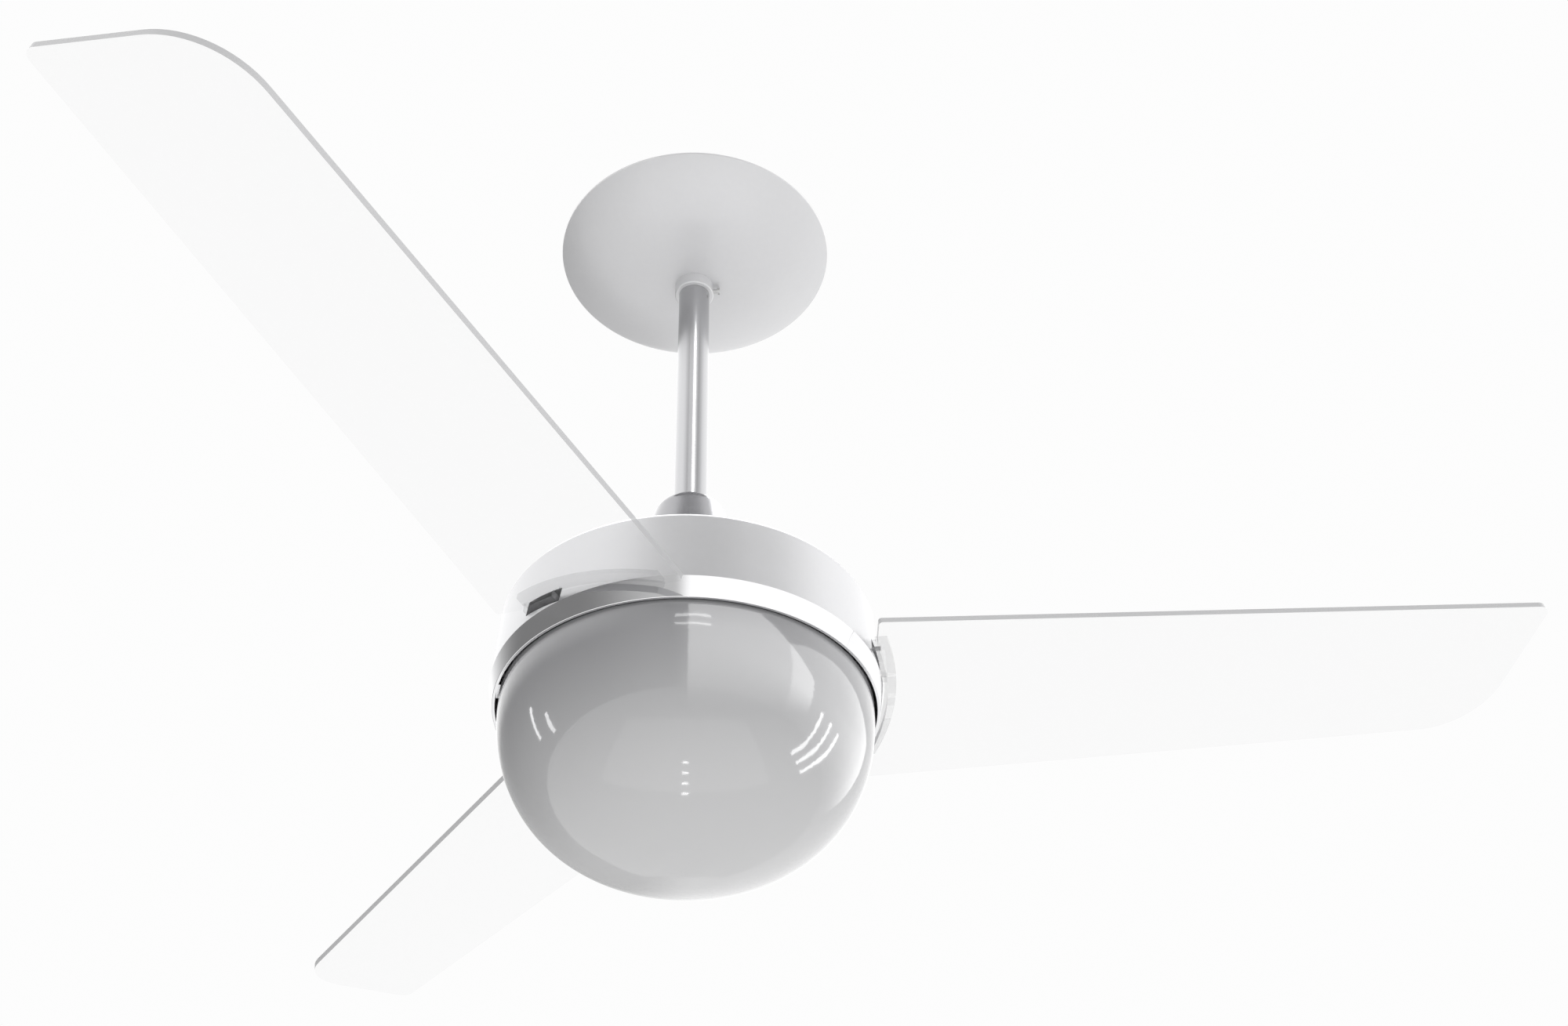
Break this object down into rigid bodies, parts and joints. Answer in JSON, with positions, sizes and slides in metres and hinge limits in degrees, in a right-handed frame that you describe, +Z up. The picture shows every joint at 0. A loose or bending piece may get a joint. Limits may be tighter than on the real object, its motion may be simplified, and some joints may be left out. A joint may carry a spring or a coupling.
{
  "type": "ceiling fan with light",
  "caption": "Ceiling fan hung on a short downrod, with clear pitched blades clamped into a low round motor housing and a glass light bowl below it",
  "frame": {"origin": "on the ceiling face, on the fan's vertical axis, at the middle of the bracket's two bolt slots", "axes": "+Z up, out of the bracket's ceiling face; +X along the first blade's run; +Y along the ceiling bracket, away from the viewer"},
  "size_m": [0.8385, 0.9404, 0.5229],
  "materials": {
    "silver_lacquer": "satin silver lacquer over spun steel",
    "chrome_trim": "polished chrome plate",
    "satin_rod": "bright satin plate",
    "clear_blade": "clear polished acrylic sheet",
    "opal_glass": "glossy opal glass",
    "holder_moulding": "smoky clear moulded plastic, painted silver where it enters the drum",
    "cast_alloy": "as cast, turned faces",
    "zinc_steel": "zinc plated",
    "black_steel": "black oxide",
    "bright_steel": "ground bearing steel",
    "spring_steel": "tempered strip",
    "lamination_steel": "varnished laminations",
    "copper_winding": "enamelled copper wire, varnished",
    "brass": "turned brass",
    "nickel_cap": "nickel plated screw cap",
    "white_enamel": "white reflector enamel",
    "white_plastic": "moulded phenolic",
    "black_plastic": "moulded case",
    "lead_sleeve": "soft lead insulation",
    "black_rubber": "moulded rubber",
    "frosted_bulb": "frosted glass envelope"
  },
  "bodies": {
    "ceiling_mount": {"ceiling_bracket": "zinc_steel", "hanger_bolt": "zinc_steel", "hanger_nut": "zinc_steel", "hanger_washers": "zinc_steel", "hanger_split_pin": "zinc_steel", "terminal_block": "white_plastic", "terminal_screws": "brass"},
    "hanging": {"hanger_bush": "black_rubber", "downrod": "satin_rod", "supply_leads": "lead_sleeve", "rod_coupling": "zinc_steel", "coupling_set_screws": "black_steel", "coupling_pin": "zinc_steel", "coupling_clip": "zinc_steel", "run_capacitor": "black_plastic", "capacitor_clip": "zinc_steel", "motor_shaft": "bright_steel", "upper_bearing_inner": "bright_steel", "lower_bearing_inner": "bright_steel", "stator_core": "lamination_steel", "stator_windings": "copper_winding", "light_pan": "white_enamel", "pan_nuts": "zinc_steel", "lamp_cluster": "white_enamel", "lampholder_1": "white_plastic", "lampholder_2": "white_plastic", "lampholder_3": "white_plastic", "lamp_bases": "nickel_cap", "lamp_bulb_1": "frosted_bulb", "lamp_bulb_2": "frosted_bulb", "lamp_bulb_3": "frosted_bulb", "bowl_springs": "spring_steel", "spring_rivets": "zinc_steel"},
    "canopy": {"canopy": "silver_lacquer", "canopy_collar": "silver_lacquer", "collar_set_screw": "zinc_steel"},
    "cover": {"coupling_cover": "silver_lacquer", "cover_grommet": "black_rubber"},
    "rotor": {"upper_bearing_outer": "bright_steel", "lower_bearing_outer": "bright_steel", "bearing_balls": "bright_steel", "rotor_core": "lamination_steel", "motor_bottom_shell": "cast_alloy", "motor_top_shell": "cast_alloy", "motor_shell_screws": "zinc_steel", "drum_housing": "silver_lacquer", "drum_screws": "zinc_steel", "trim_ring": "chrome_trim", "trim_ring_screws": "zinc_steel", "blade_1": "clear_blade", "blade_2": "clear_blade", "blade_3": "clear_blade", "blade_holder_1": "holder_moulding", "blade_holder_2": "holder_moulding", "blade_holder_3": "holder_moulding", "blade_screws": "zinc_steel", "blade_washers": "black_rubber", "holder_screws": "zinc_steel"},
    "bowl": {"glass_bowl": "opal_glass"}
  },
  "joints": [
    {"name": "hanger_swing", "type": "hinge", "parent": "ceiling_mount", "child": "hanging", "pos_m": [0, 0, -0.016], "axis": [1, 0, 0], "range_deg": [-5, 5]},
    {"name": "canopy_drop", "type": "slide", "parent": "hanging", "child": "canopy", "axis": [0, 0, -1], "range_m": [0, 0.1]},
    {"name": "cover_lift", "type": "slide", "parent": "hanging", "child": "cover", "axis": [0, 0, 1], "range_m": [0, 0.1]},
    {"name": "rotor_spin", "type": "hinge", "parent": "hanging", "child": "rotor", "pos_m": [0, 0, -0.38], "axis": [0, 0, 1], "continuous": true},
    {"name": "bowl_drop", "type": "slide", "parent": "hanging", "child": "bowl", "axis": [0, 0, -1], "range_m": [0, 0.1]}
  ]
}
